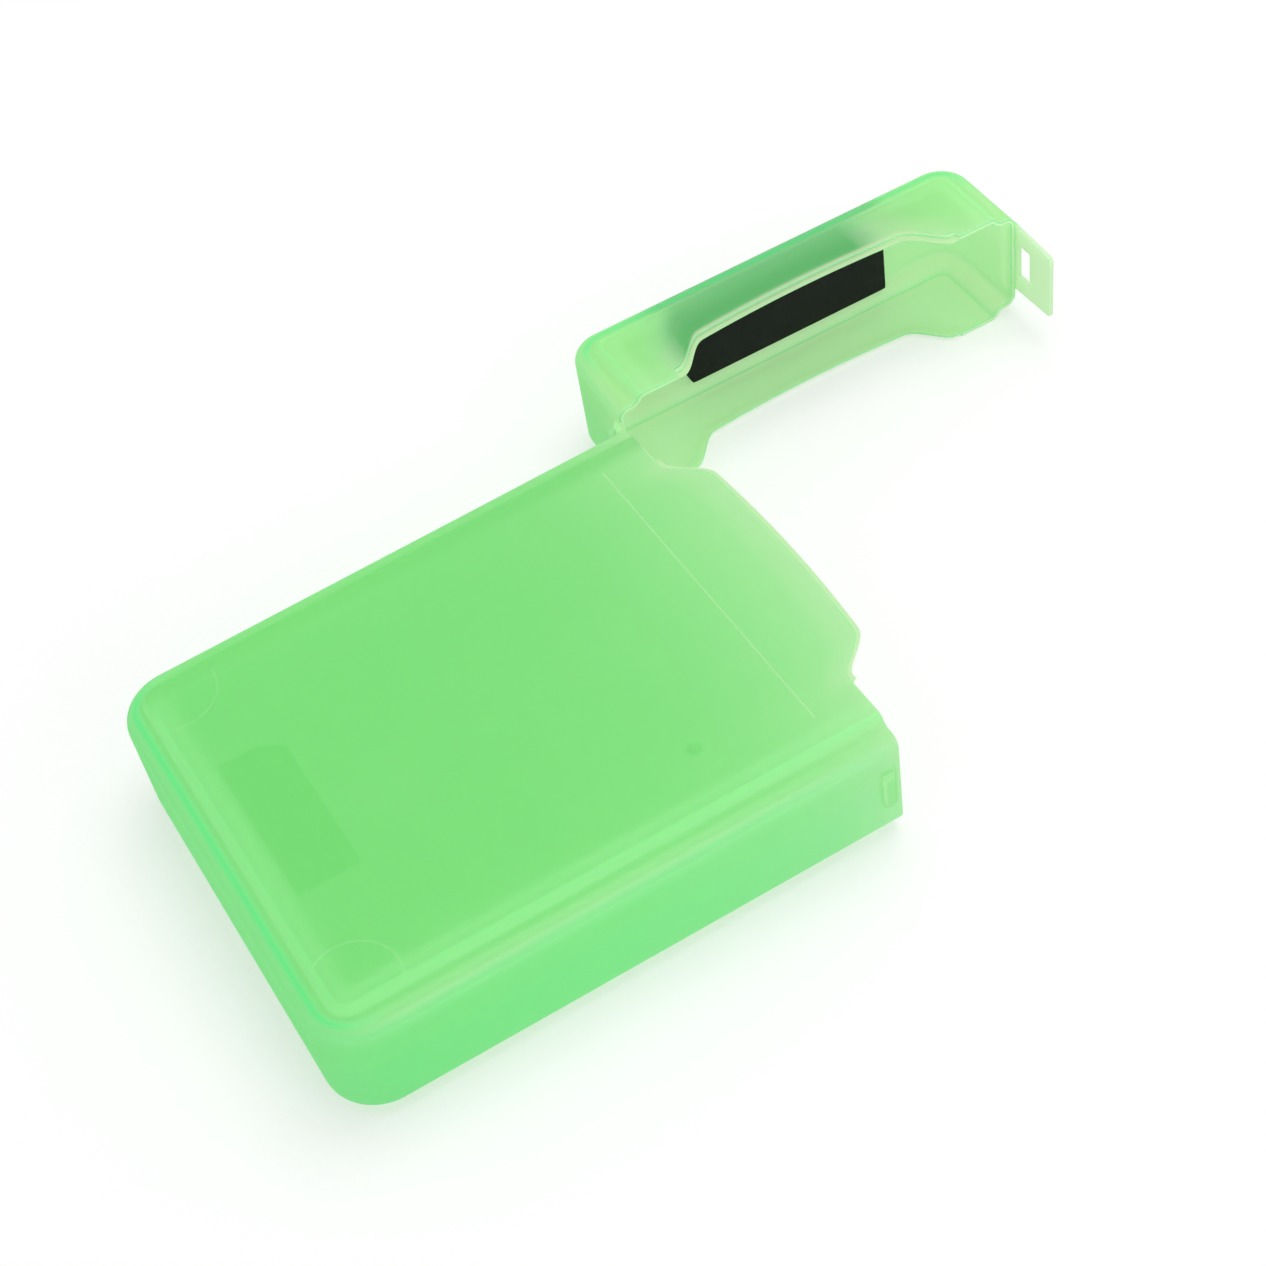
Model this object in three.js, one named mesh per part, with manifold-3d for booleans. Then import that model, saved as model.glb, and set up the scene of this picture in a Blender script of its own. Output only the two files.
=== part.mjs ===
// Moulded case for one hard drive: a flat box with a hinged end cap, a latch tongue and a cushion pad.
// Millimetres, +Z up. The origin is the centre of the panel that the box lies on, and the mouth faces +X.
import * as THREE from 'three';
import { mergeVertices } from 'three/addons/utils/BufferGeometryUtils.js';
import Module from 'manifold-3d';

const wasm = await Module();
wasm.setup();

// Box, measured with the cap closed
const mouthWidth = 115;
const bodyLength = 135;
const capDepth = 29.4;
const sideHeight = 29.2;
const wall = 1.4;
const draftAngle = 0.66;
const bodyCorner = 12.5;
const capCorner = 8.5;
const edgeRadius = 3;

// Raised panel on both large faces, reached from the side by a shoulder and an S-shaped step
const shoulderWidth = 0.6;
const stepRun = 3.8;
const panelRise = 2.3;
const panelCorner = 2.4;

// Wavy seam: the box bulges into the cap, and the outer layer of its panels laps over a lip on the cap
const bulgeReach = 9.5;
const bulgeCrown = 1.2;
const bulgeHalfWidth = 33.7;
const flankWidth = 10.6;
const lapReach = 1.2;
const lapHalfWidth = 40.7;
const seamGap = 0.4;

// Living hinge on the +Y side: a leaf on each shell and a thin web between them
const hingeReach = 3;
const hingeSetback = 1.3;
const hingeMargin = 0.6;
const leafThickness = 1.2;
const webThickness = 0.4;
const webRadius = 0.8;
const webLegShare = 0.9;
const openAngle = 89;

// Latch on the -Y side: a windowed tongue on the cap and a catch on the box
const tongueReach = 13.7;
const tongueMargin = 1.1;
const tongueTaper = 0.8;
const tongueThickness = 1.2;
const tongueRound = 1;
const latchRootSet = 0.8;
const latchRootLength = 4.2;
const latchRootRamp = 2.6;
const windowLength = 4.8;
const windowHeight = 10.4;
const windowFromRim = 0.2;
const catchRamp = 2.2;

// Foam pad inside the cap's end wall, and the film that holds it
const padLength = 66;
const padThickness = 4.2;
const padSlant = 7;
const padEdge = 0.6;
const filmThickness = 0.25;
const filmMargin = 2;

// Clearances between pieces, and how finely round stretches are divided
const fitGap = 0.3;
const filmGap = 0.15;
const cornerSteps = 8;
const arcSteps = 4;
const seamStep = 2.6;
const weldDistance = 1e-5;

// Places that follow from the sizes above
const height = sideHeight + 2 * panelRise;
const midHeight = height / 2;
const flatHeight = sideHeight - 2 * edgeRadius;
const panelInset = edgeRadius + shoulderWidth + stepRun;
const halfWidth = mouthWidth / 2;
const mouthX = bodyLength / 2;
const closedEndX = -bodyLength / 2;
const capEndX = mouthX + capDepth;
const capRimX = mouthX + seamGap;
const bulgeFoot = bulgeHalfWidth + flankWidth / 2;
const bulgeShoulder = bulgeHalfWidth - flankWidth / 2;
const lapThickness = (wall - fitGap) / 2;
const pivot = new THREE.Vector3((mouthX + capRimX) / 2 - hingeSetback, halfWidth + hingeReach, 0);
const leafEndY = pivot.y - webRadius - fitGap;
const latchInnerY = -halfWidth - fitGap;
const latchOuterY = latchInnerY - tongueThickness;
const latchRootX = capRimX + latchRootSet;
const hingeHeight = flatHeight - 2 * hingeMargin;
const tongueRootHeight = flatHeight - 2 * tongueMargin;
const windowFrontX = mouthX - windowFromRim;
const padHeight = sideHeight - 2 * (wall + fitGap);
const filmBackX = capEndX - wall - filmGap;
const padBackX = filmBackX - filmThickness - filmGap;

// Finishes
const greenPlastic = { color: 0x83e27c, roughness: 0.45, metalness: 0 };
const thinPlastic = { color: 0xa6ee9a, roughness: 0.4, metalness: 0 };
const blackFoam = { color: 0x1f2423, roughness: 0.95, metalness: 0 };
const paleFilm = { color: 0xe6e2d2, roughness: 0.6, metalness: 0 };

// Solids for joining and cutting
function toSolid(geometry) {
  const bare = geometry.clone();
  bare.deleteAttribute('normal');
  bare.deleteAttribute('uv');
  const merged = mergeVertices(bare, weldDistance);
  const vertProperties = new Float32Array(merged.attributes.position.array);
  const triVerts = new Uint32Array(merged.index.array);
  return new wasm.Manifold(new wasm.Mesh({ numProp: 3, vertProperties, triVerts }));
}

function toGeometry(solid) {
  const mesh = solid.getMesh();
  const geometry = new THREE.BufferGeometry();
  geometry.setAttribute('position', new THREE.BufferAttribute(new Float32Array(mesh.vertProperties), 3));
  geometry.setIndex(new THREE.BufferAttribute(new Uint32Array(mesh.triVerts), 1));
  geometry.computeVertexNormals();
  return geometry;
}

function polygon(points) {
  return new THREE.Shape(points.map(([x, y]) => new THREE.Vector2(x, y)));
}

// Prism on a plan outline, between two heights
function extrudeUp(shape, lowZ, highZ) {
  const geometry = new THREE.ExtrudeGeometry(shape, { depth: highZ - lowZ, bevelEnabled: false });
  return geometry.translate(0, 0, lowZ);
}

// Prism on a plan outline, centred on the middle of the sides
function extrudeMiddle(shape, tall) {
  return extrudeUp(shape, midHeight - tall / 2, midHeight + tall / 2);
}

// Half of the wall's section, from the side to the panel: x is the inset from the side and y the height
// above the middle. The inner face is the same line moved inwards by the wall.
function sectionLine(offset) {
  const sideTop = sideHeight / 2;
  const sweep = 2 * Math.atan(panelRise / stepRun);
  const stepRadius = stepRun / 2 / Math.sin(sweep);
  const stepStart = edgeRadius + shoulderWidth;
  const quarter = Math.PI / 2;
  const points = [];
  const addArc = (x, y, radius, from, to) => {
    for (let i = 0; i <= arcSteps; i += 1) {
      const angle = from + ((to - from) * i) / arcSteps;
      points.push([x + radius * Math.cos(angle), y + radius * Math.sin(angle)]);
    }
  };
  addArc(edgeRadius, sideTop - edgeRadius, edgeRadius - offset, 2 * quarter, quarter);
  addArc(stepStart, sideTop + stepRadius, stepRadius + offset, -quarter, -quarter + sweep);
  addArc(panelInset, sideTop + panelRise - stepRadius, stepRadius - offset, quarter + sweep, quarter);
  return points;
}

// Plan outline of the closed case at one inset, with a point on each side at the mouth. The corners tighten
// from the sides to the panel.
function planRing(inset) {
  const sideY = halfWidth - inset;
  const round = (sideRadius) => THREE.MathUtils.lerp(sideRadius, panelCorner, inset / panelInset);
  const corners = [
    [capEndX - inset, sideY, round(capCorner)],
    [closedEndX + inset, sideY, round(bodyCorner)],
    [closedEndX + inset, -sideY, round(bodyCorner)],
    [capEndX - inset, -sideY, round(capCorner)],
  ];
  const points = [];
  corners.forEach(([endX, endY, radius], corner) => {
    const x = endX - Math.sign(endX) * radius;
    const y = endY - Math.sign(endY) * radius;
    for (let i = 0; i <= cornerSteps; i += 1) {
      const angle = (corner + i / cornerSteps) * (Math.PI / 2);
      points.push(new THREE.Vector2(x + radius * Math.cos(angle), y + radius * Math.sin(angle)));
    }
    if (corner % 2 === 0) {
      points.push(new THREE.Vector2(mouthX, endY));
    }
  });
  return points;
}

// Closed solid through a stack of plan rings, which all have as many points
function loft(rings, heights) {
  const count = rings[0].length;
  const last = rings.length - 1;
  const positions = rings.flatMap((ring, level) => ring.flatMap((p) => [p.x, p.y, heights[level]]));
  const indices = [];
  for (let level = 0; level < last; level += 1) {
    for (let i = 0; i < count; i += 1) {
      const a = level * count + i;
      const b = level * count + ((i + 1) % count);
      indices.push(a, b, b + count, a, b + count, a + count);
    }
  }
  const lid = THREE.ShapeUtils.triangulateShape(rings[last], []);
  const floor = THREE.ShapeUtils.triangulateShape(rings[0], []);
  lid.forEach((corners) => indices.push(...corners.map((i) => last * count + i)));
  floor.forEach(([a, b, c]) => indices.push(a, c, b));
  const geometry = new THREE.BufferGeometry();
  geometry.setAttribute('position', new THREE.Float32BufferAttribute(positions, 3));
  geometry.setIndex(indices);
  return geometry;
}

// Both shells narrow away from the mouth, so that the moulding leaves its tool
function addDraft(geometry) {
  const position = geometry.attributes.position;
  const rate = Math.tan(THREE.MathUtils.degToRad(draftAngle)) / halfWidth;
  for (let i = 0; i < position.count; i += 1) {
    const narrowing = 1 - Math.abs(position.getX(i) - mouthX) * rate;
    position.setY(i, position.getY(i) * narrowing);
  }
  return geometry;
}

// The closed case as one form: offset 0 is its outside, and offset wall its inside
function caseForm(offset) {
  const upper = sectionLine(offset).map(([inset, rise]) => [inset, midHeight + rise]);
  const lower = upper.map(([inset, z]) => [inset, height - z]).reverse();
  const levels = [...lower, ...upper];
  const rings = levels.map(([inset]) => planRing(inset));
  const heights = levels.map(([, z]) => z);
  return toSolid(addDraft(loft(rings, heights)));
}

// How far the seam stands out past the straight part of the mouth
function seamRise(y) {
  const reach = bulgeReach - bulgeCrown * Math.min(1, Math.abs(y) / bulgeShoulder) ** 2;
  return reach * (1 - THREE.MathUtils.smoothstep(Math.abs(y), bulgeShoulder, bulgeFoot));
}

// Upright band between two copies of the seam that are moved along X
function seamBand(near, far, halfSpan, lowZ, highZ) {
  const steps = 2 * Math.ceil(halfSpan / seamStep);
  const along = Array.from({ length: steps + 1 }, (_, i) => -halfSpan + (2 * halfSpan * i) / steps);
  const line = (shift) => along.map((y) => [mouthX + seamRise(y) + shift, y]);
  const shape = polygon([...line(far), ...line(near).reverse()]);
  return toSolid(extrudeUp(shape, lowZ, highZ));
}

// The same band in the outer layer of both panels
function panelLayers(near, far, halfSpan, depth) {
  const floor = seamBand(near, far, halfSpan, -wall, depth);
  const roof = seamBand(near, far, halfSpan, height - depth, height + wall);
  return floor.add(roof);
}

// Everything on the cap's side of the seam, moved along X
function capSide(shift) {
  return seamBand(shift, capDepth + bulgeReach, mouthWidth, -wall, height + wall);
}

const shell = caseForm(0).subtract(caseForm(wall));

// Leaf of the hinge on the box, standing out from the side wall behind the rim
function bodyLeaf() {
  const innerY = halfWidth - wall / 2;
  const faceX = pivot.x - seamGap / 2;
  const edgeX = faceX - leafThickness;
  const footX = edgeX - (leafEndY - innerY);
  const shape = polygon([[faceX, innerY], [faceX, leafEndY], [edgeX, leafEndY], [footX, innerY]]);
  return toSolid(extrudeMiddle(shape, hingeHeight));
}

// Leaf of the hinge on the cap, which reaches back over the rim of the box
function capLeaf() {
  const innerY = halfWidth - wall / 2;
  const faceX = pivot.x + seamGap / 2;
  const edgeX = faceX + leafThickness;
  const footX = capRimX + leafThickness + (leafEndY - innerY);
  const shape = polygon([
    [capRimX, innerY],
    [footX, innerY],
    [edgeX, leafEndY],
    [faceX, leafEndY],
    [faceX, halfWidth + fitGap],
    [capRimX, halfWidth + fitGap],
  ]);
  return toSolid(extrudeMiddle(shape, hingeHeight));
}

// Catch on the box: a ramp that lifts the tongue and a square back that holds its window
function latchCatch() {
  const frontX = windowFrontX - fitGap;
  const backX = windowFrontX - windowLength + fitGap;
  const innerY = -halfWidth + wall / 2;
  const shape = polygon([
    [frontX, innerY],
    [backX, innerY],
    [backX, latchOuterY],
    [frontX - catchRamp, latchOuterY],
  ]);
  return toSolid(extrudeMiddle(shape, windowHeight - 2 * fitGap));
}

function bodyGeometry() {
  const lap = panelLayers(-seamGap, lapReach, lapHalfWidth, lapThickness);
  const box = shell.subtract(capSide(0).subtract(lap));
  return toGeometry(box.add(bodyLeaf()).add(latchCatch()));
}

// Root of the tongue on the cap: a rib that ramps down into the side wall
function latchRoot() {
  const backX = latchRootX + latchRootLength;
  const innerY = -halfWidth + wall / 2;
  const shape = polygon([
    [latchRootX, innerY],
    [latchRootX, latchOuterY],
    [backX - latchRootRamp, latchOuterY],
    [backX, innerY],
  ]);
  return toSolid(extrudeMiddle(shape, tongueRootHeight));
}

function capGeometry() {
  const lapRoom = panelLayers(-seamGap, lapReach + seamGap, lapHalfWidth + seamGap, lapThickness + fitGap);
  const cap = shell.intersect(capSide(seamGap)).subtract(lapRoom);
  return toGeometry(cap.add(capLeaf()).add(latchRoot()));
}

// Tongue: a plate that tapers to a rounded tip, with a window for the catch
function tongueGeometry() {
  const rootX = latchRootX - fitGap;
  const tipX = mouthX - tongueReach;
  const rootHalf = tongueRootHeight / 2;
  const tipHalf = rootHalf - tongueTaper;
  const shape = new THREE.Shape();
  shape.moveTo(rootX, -rootHalf);
  shape.lineTo(rootX, rootHalf);
  shape.lineTo(tipX + tongueRound, tipHalf);
  shape.quadraticCurveTo(tipX, tipHalf, tipX, tipHalf - tongueRound);
  shape.lineTo(tipX, tongueRound - tipHalf);
  shape.quadraticCurveTo(tipX, -tipHalf, tipX + tongueRound, -tipHalf);
  const window = polygon([
    [windowFrontX, -windowHeight / 2],
    [windowFrontX, windowHeight / 2],
    [windowFrontX - windowLength, windowHeight / 2],
    [windowFrontX - windowLength, -windowHeight / 2],
  ]);
  shape.holes.push(window);
  const options = { depth: tongueThickness, bevelEnabled: false, curveSegments: arcSteps };
  const plate = new THREE.ExtrudeGeometry(shape, options);
  return plate.rotateX(Math.PI / 2).translate(0, latchInnerY, midHeight);
}

// Web of the hinge: a strip bent round the pivot, with a short leg towards each leaf
function webGeometry() {
  const leg = Math.sqrt((webRadius + webLegShare * fitGap) ** 2 - webRadius ** 2);
  const open = THREE.MathUtils.degToRad(openAngle);
  const bend = (radius) => {
    const points = [[-radius, -leg]];
    for (let i = 0; i <= 2 * arcSteps; i += 1) {
      const angle = Math.PI + ((open - Math.PI) * i) / (2 * arcSteps);
      points.push([radius * Math.cos(angle), radius * Math.sin(angle)]);
    }
    const endX = radius * Math.cos(open) + leg * Math.sin(open);
    const endY = radius * Math.sin(open) - leg * Math.cos(open);
    return [...points, [endX, endY]];
  };
  const shape = polygon([...bend(webRadius), ...bend(webRadius - webThickness).reverse()]);
  return extrudeMiddle(shape, hingeHeight).translate(pivot.x, pivot.y, 0);
}

// Plate that lies on the cap's end wall, with one slanted end
function endPlate(backX, thickness, margin, edge) {
  const half = padLength / 2 - margin;
  const low = -padHeight / 2 + margin;
  const high = padHeight / 2 - margin;
  const shape = polygon([[-half, low], [half - padSlant, low], [half, high], [-half, high]]);
  const options = {
    depth: thickness - 2 * edge,
    bevelEnabled: edge > 0,
    bevelThickness: edge,
    bevelSize: edge,
    bevelOffset: -edge,
    bevelSegments: 1,
  };
  const plate = new THREE.ExtrudeGeometry(shape, options);
  plate.rotateX(Math.PI / 2).rotateZ(Math.PI / 2);
  return plate.translate(backX - thickness + edge, 0, midHeight);
}

function piece(name, geometry, finish) {
  const mesh = new THREE.Mesh(geometry, new THREE.MeshStandardMaterial(finish));
  mesh.name = name;
  return mesh;
}

// The cap and all that it carries, shaped where the closed cap is and then swung open about the pivot
const capPieces = [
  piece('end_cap', capGeometry(), greenPlastic),
  piece('latch_tongue', tongueGeometry(), greenPlastic),
  piece('pad_film', endPlate(filmBackX, filmThickness, filmMargin, 0), paleFilm),
  piece('cushion_pad', endPlate(padBackX, padThickness, 0, padEdge), blackFoam),
];
const capGroup = new THREE.Group();
capPieces.forEach((mesh) => {
  mesh.geometry.translate(-pivot.x, -pivot.y, 0);
  capGroup.add(mesh);
});
capGroup.position.copy(pivot);
capGroup.rotation.z = THREE.MathUtils.degToRad(openAngle);

const driveCase = new THREE.Group();
driveCase.add(piece('case_body', bodyGeometry(), greenPlastic));
driveCase.add(piece('hinge_web', webGeometry(), thinPlastic));
driveCase.add(capGroup);

export default driveCase;
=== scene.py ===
"""Looks for a translucent hard drive case with a hinged end cap, a latch tongue and a foam pad.

Sizes are in millimetres with the cap closed, as moulded, and turn to metres when a mesh is made.
"""

from __future__ import annotations

import logging
import math
from collections.abc import Callable, Mapping, Sequence
from dataclasses import dataclass
from enum import Enum
from typing import Any

import bmesh
import bpy
import numpy as np
from mathutils import Matrix, Vector


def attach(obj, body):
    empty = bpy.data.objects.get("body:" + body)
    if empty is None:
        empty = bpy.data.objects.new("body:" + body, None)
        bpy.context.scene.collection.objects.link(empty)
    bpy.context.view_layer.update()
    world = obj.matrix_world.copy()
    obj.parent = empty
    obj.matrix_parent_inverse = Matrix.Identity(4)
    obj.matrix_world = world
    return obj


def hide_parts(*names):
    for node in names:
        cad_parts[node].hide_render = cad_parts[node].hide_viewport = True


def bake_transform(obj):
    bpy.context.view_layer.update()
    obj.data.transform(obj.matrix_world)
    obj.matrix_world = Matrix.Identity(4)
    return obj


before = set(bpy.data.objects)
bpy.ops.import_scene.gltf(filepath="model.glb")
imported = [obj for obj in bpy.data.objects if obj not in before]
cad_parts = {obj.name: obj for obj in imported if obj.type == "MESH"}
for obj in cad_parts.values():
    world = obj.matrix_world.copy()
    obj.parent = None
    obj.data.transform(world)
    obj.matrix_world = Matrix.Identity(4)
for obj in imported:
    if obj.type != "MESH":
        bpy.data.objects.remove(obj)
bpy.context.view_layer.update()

LOG = logging.getLogger("drive_case")
MM = 0.001
QUARTER = math.pi / 2
SAME_POINT = 1e-6
SHARP_ANGLE = 70.0
BEVEL_STEPS = 3
NOISE_MIDDLE = 0.5
WHITE = (1.0, 1.0, 1.0, 1.0)
Pair = tuple[float, float]
Triple = tuple[float, float, float]


class Body(str, Enum):
    """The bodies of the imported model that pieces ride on."""

    CASE = "case"
    CAP = "cap"
    LATCH = "latch"


class Mark(str, Enum):
    """What the mesh tells the plastic about a point: where light and shade are painted into its
    colour.
    """

    # Painted light: paleness near the mouth, on inner faces, along fillets and over the whole
    # tongue.
    RIM = "rim"
    # Painted side tint: the side walls and their fittings coloured for how the sides catch light.
    SIDE = "side"
    # Painted shade lines: at the step's foot, low on the sides, in the lap groove and round the
    # rim.
    FOLD = "fold"
    # Painted highlights along the step's crest and the panel's border.
    CREST = "crest"
    # Painted shade where the dark pad shows through the cap's upper panel.
    SHADE = "shade"


class Slot(str, Enum):
    """Names of material slots, which this script does not use."""

    SHELL = "green_plastic"
    HINGE = "hinge_plastic"
    FOAM = "black_foam"
    FILM = "adhesive_film"


# Shader maths


def math_node(operation: str, swapped: bool = False) -> Callable[..., Wire]:
    """Make a method of Wire that adds one Math node.

    Args:
        operation: The node's operation.
        swapped: Whether the other value comes first.

    Returns:
        The method.
    """

    def method(wire: Wire, other: Any = 0.0) -> Wire:
        """Add the Math node."""
        first, second = (other, wire) if swapped else (wire, other)
        return wire.kit.add("ShaderNodeMath", {"operation": operation}, {0: first, 1: second})

    return method


class Wire:
    """A shader value that takes part in Python sums; each sum adds a Math node."""

    def __init__(self, kit: ShaderKit, socket: bpy.types.NodeSocket) -> None:
        self.kit = kit
        self.socket = socket

    __add__ = math_node("ADD")
    __radd__ = math_node("ADD", swapped=True)
    __sub__ = math_node("SUBTRACT")
    __rsub__ = math_node("SUBTRACT", swapped=True)
    __mul__ = math_node("MULTIPLY")
    __rmul__ = math_node("MULTIPLY", swapped=True)
    __pow__ = math_node("POWER")
    __rpow__ = math_node("POWER", swapped=True)
    __abs__ = math_node("ABSOLUTE")
    least = math_node("MINIMUM")
    most = math_node("MAXIMUM")


class ShaderKit:
    """Builds the node tree of one material or world."""

    def __init__(self, owner: bpy.types.Material | bpy.types.World) -> None:
        """Start with an empty tree.

        Args:
            owner: The material or world that gets the tree.
        """
        owner.use_nodes = True
        self.owner = owner
        self.tree = owner.node_tree
        self.tree.nodes.clear()

    def add(
        self,
        kind: str,
        settings: Mapping[str, Any] | None = None,
        inputs: Mapping[str | int, Any] | None = None,
        out: str | int = 0,
    ) -> Wire:
        """Add one node.

        Args:
            kind: The node's type.
            settings: Properties to set first.
            inputs: Values or links of its sockets, by name or number.
            out: The output that the result wraps.

        Returns:
            The chosen output.
        """
        node = self.tree.nodes.new(kind)
        for key, value in (settings or {}).items():
            setattr(node, key, value)
        for key, value in (inputs or {}).items():
            if isinstance(value, Wire):
                self.tree.links.new(value.socket, node.inputs[key])
            else:
                node.inputs[key].default_value = value
        return Wire(self, node.outputs[out])

    def colour_mix(self, share: Any, first: Any, second: Any) -> Wire:
        """Mix two colours.

        Args:
            share: How much of the second colour shows.
            first: Colour or link.
            second: Colour or link.

        Returns:
            The mixed colour.
        """
        sockets = {0: share, 6: self.opaque(first), 7: self.opaque(second)}
        return self.add("ShaderNodeMix", {"data_type": "RGBA"}, sockets, 2)

    @staticmethod
    def opaque(colour: Any) -> Any:
        """Give a plain colour its alpha."""
        return colour if isinstance(colour, Wire) else (*colour, 1.0)

    def shader_mix(self, share: Wire, first: Wire, second: Wire) -> Wire:
        """Mix two shaders by the share of the second."""
        return self.add("ShaderNodeMixShader", inputs={0: share, 1: first, 2: second})

    def smooth(self, value: Any, low: float, high: float) -> Wire:
        """Rise smoothly from 0 at low to 1 at high.

        Args:
            value: The value to read.
            low: Where the rise starts.
            high: Where it ends.

        Returns:
            A share from 0 to 1.
        """
        return self.add(
            "ShaderNodeMapRange",
            {"interpolation_type": "SMOOTHSTEP"},
            {"Value": value, "From Min": low, "From Max": high},
        )

    def place(self) -> tuple[Wire, Wire, Wire, Wire]:
        """Read the point of the piece in millimetres.

        Returns:
            The point, and its three parts.
        """
        point = self.add("ShaderNodeTexCoord", out="Object")
        scale = {"operation": "SCALE"}
        scaled = self.add("ShaderNodeVectorMath", scale, {0: point, "Scale": 1 / MM})
        x, y, z = (self.add("ShaderNodeSeparateXYZ", inputs={0: scaled}, out=i) for i in range(3))
        return scaled, x, y, z

    def mark(self, mark: Mark) -> Wire:
        """Read how much of a mark the mesh has."""
        return self.add("ShaderNodeAttribute", {"attribute_name": mark.value}, out="Fac")

    def noise(self, point: Wire, scale: float, detail: float, rough: float = 0.5) -> Wire:
        """Make noise.

        Args:
            point: Where to read it.
            scale: Repeats in each millimetre.
            detail: Number of octaves.
            rough: Weight of the finer octaves.

        Returns:
            Values round NOISE_MIDDLE.
        """
        sockets = {"Vector": point, "Scale": scale, "Detail": detail, "Roughness": rough}
        return self.add("ShaderNodeTexNoise", inputs=sockets)

    def bump(self, height: Wire, strength: float, distance: float) -> Wire:
        """Turn a height into a normal.

        Args:
            height: Height from 0 to 1.
            strength: Share of the effect.
            distance: Height of 1, in metres.

        Returns:
            The normal.
        """
        sockets = {"Strength": strength, "Distance": distance, "Height": height}
        return self.add("ShaderNodeBump", inputs=sockets)

    def finish(self, surface: Wire, output: str = "ShaderNodeOutputMaterial") -> Any:
        """End the tree in a surface.

        Args:
            surface: The shader that shows.
            output: Type of the last node.

        Returns:
            The material or world.
        """
        last = self.tree.nodes.new(output)
        self.tree.links.new(surface.socket, last.inputs["Surface"])
        return self.owner


# Finishes


@dataclass(frozen=True)
class PanelMarks:
    """Faint marks that the mould leaves on the box's upper panel, and a painted shade along its
    hinge-side edge, in millimetres.
    """

    above: float = 32.6
    soft: float = 0.2
    line_x: float = 55.6
    line_width: float = 0.36
    line_ends: Pair = (-44.0, 45.0)
    line_share: float = 0.55
    patch_x: Pair = (-55.4, -40.5)
    patch_y: Pair = (-19.9, 20.9)
    patch_cut: float = 17.2
    patch_slope: float = 0.68
    patch_stain: float = 0.38
    gate: Pair = (30.6, -35.9)
    gate_radius: float = 1.7
    gate_soft: float = 0.5
    gate_stain: float = 0.52
    arc: Pair = (-55.0, 45.5)
    arc_radius: float = 10.0
    arc_width: float = 0.35
    arc_share: float = 0.4
    # Painted shade band along the panel's hinge-side edge.
    far_y: Pair = (44.0, 49.0)
    far_shade: float = 0.62

    def band(self, kit: ShaderKit, value: Wire, low: float, high: float) -> Wire:
        """Tell whether a value lies between two limits, with soft ends.

        Args:
            kit: The material's nodes.
            value: The value to read.
            low: The lower limit.
            high: The upper limit.

        Returns:
            A share from 0 to 1.
        """
        soft = self.soft
        rise = kit.smooth(value, low - soft, low + soft)
        return rise * kit.smooth(value, high + soft, high - soft)

    @staticmethod
    def distance(x: Wire, y: Wire, point: Pair) -> Wire:
        """Measure how far a place is from a point."""
        return ((x - point[0]) ** 2.0 + (y - point[1]) ** 2.0) ** 0.5

    def draw(self, kit: ShaderKit, x: Wire, y: Wire, z: Wire) -> tuple[Wire, Wire]:
        """Draw the marks and the painted edge shade.

        Args:
            kit: The material's nodes.
            x: Place along the box.
            y: Place across the box.
            z: Height.

        Returns:
            How much darker the plastic is, with stains and painted shade, and how much paler it
            is.
        """
        top = kit.smooth(z, self.above - self.soft, self.above + self.soft)
        patch = self.band(kit, x, *self.patch_x) * self.band(kit, y, *self.patch_y)
        corner = (x - self.patch_x[1]) * self.patch_slope + y
        patch = patch * kit.smooth(corner, self.patch_cut + self.soft, self.patch_cut - self.soft)
        gate = self.distance(x, y, self.gate)
        ring = self.gate_radius
        spot = kit.smooth(gate, ring + self.gate_soft, ring - self.gate_soft)
        line = kit.smooth(abs(x - self.line_x), self.line_width, 0.0)
        line = line * self.band(kit, y, *self.line_ends)
        turn = self.distance(x, abs(y), self.arc)
        arc = kit.smooth(abs(turn - self.arc_radius), self.arc_width, 0.0)
        # Painted shade along the hinge-side edge.
        far = kit.smooth(y, *self.far_y)
        stain_and_shade = patch * self.patch_stain + spot * self.gate_stain + far * self.far_shade
        return top * stain_and_shade, top * (line * self.line_share + arc * self.arc_share)


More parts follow.
